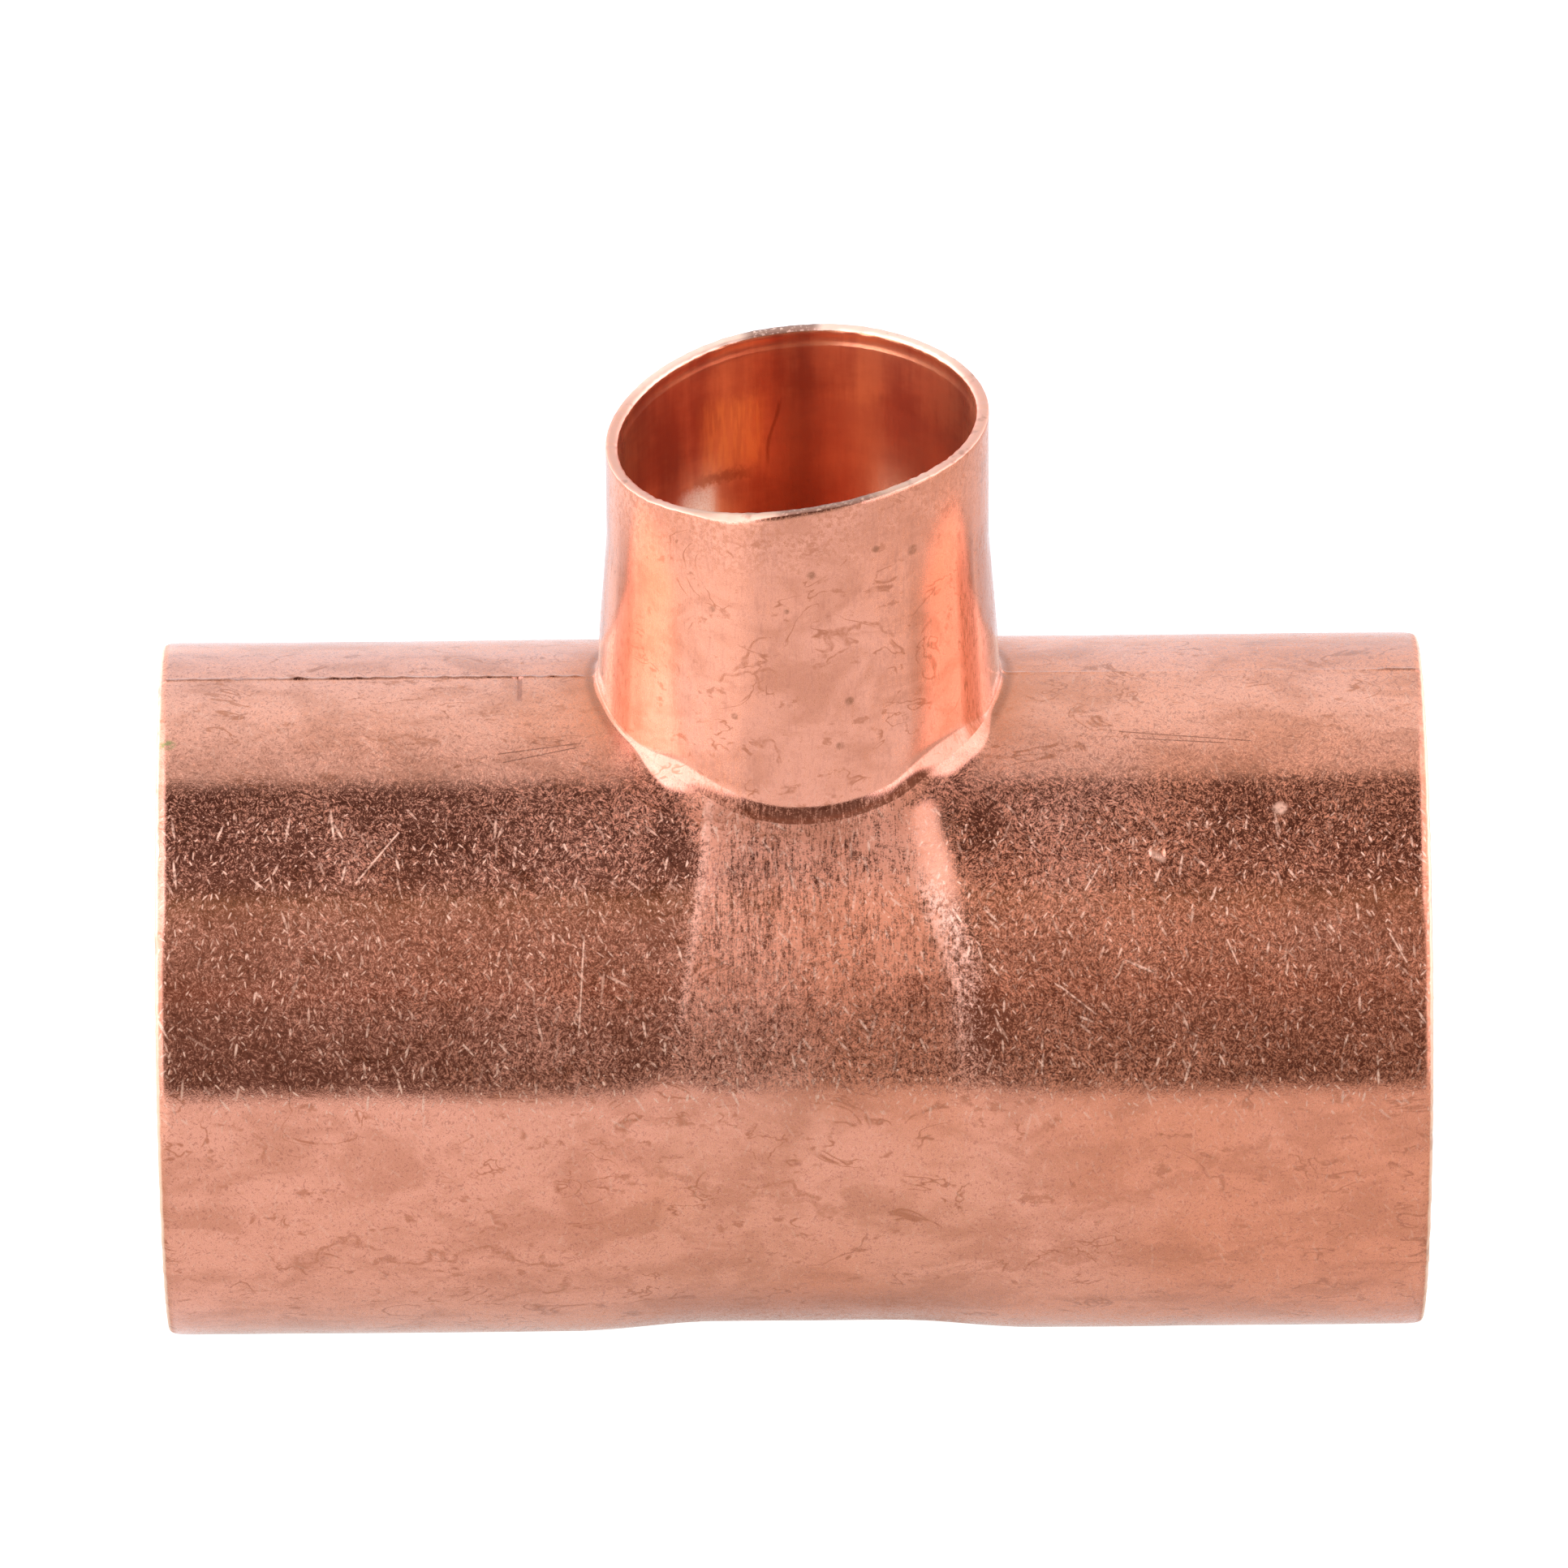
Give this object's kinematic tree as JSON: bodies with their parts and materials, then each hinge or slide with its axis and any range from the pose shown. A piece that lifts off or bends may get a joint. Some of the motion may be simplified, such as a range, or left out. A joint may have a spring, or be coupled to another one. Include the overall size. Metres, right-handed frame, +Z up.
{
  "type": "reducing tee fitting",
  "caption": "Short copper tube with open socket ends and a narrower open branch rising from its middle, blended into it with a small fillet.",
  "frame": {"origin": "under the middle of the run, at the lowest point of its round wall; the run's axis is 28.2 mm above it", "axes": "+X along the run, +Z up along the branch, +Y to the far side when the tee is seen with +X to the right"},
  "size_m": [0.102, 0.0564, 0.0809],
  "materials": {
    "copper": null
  },
  "bodies": {
    "root": {"tee_body": "copper"}
  },
  "joints": []
}
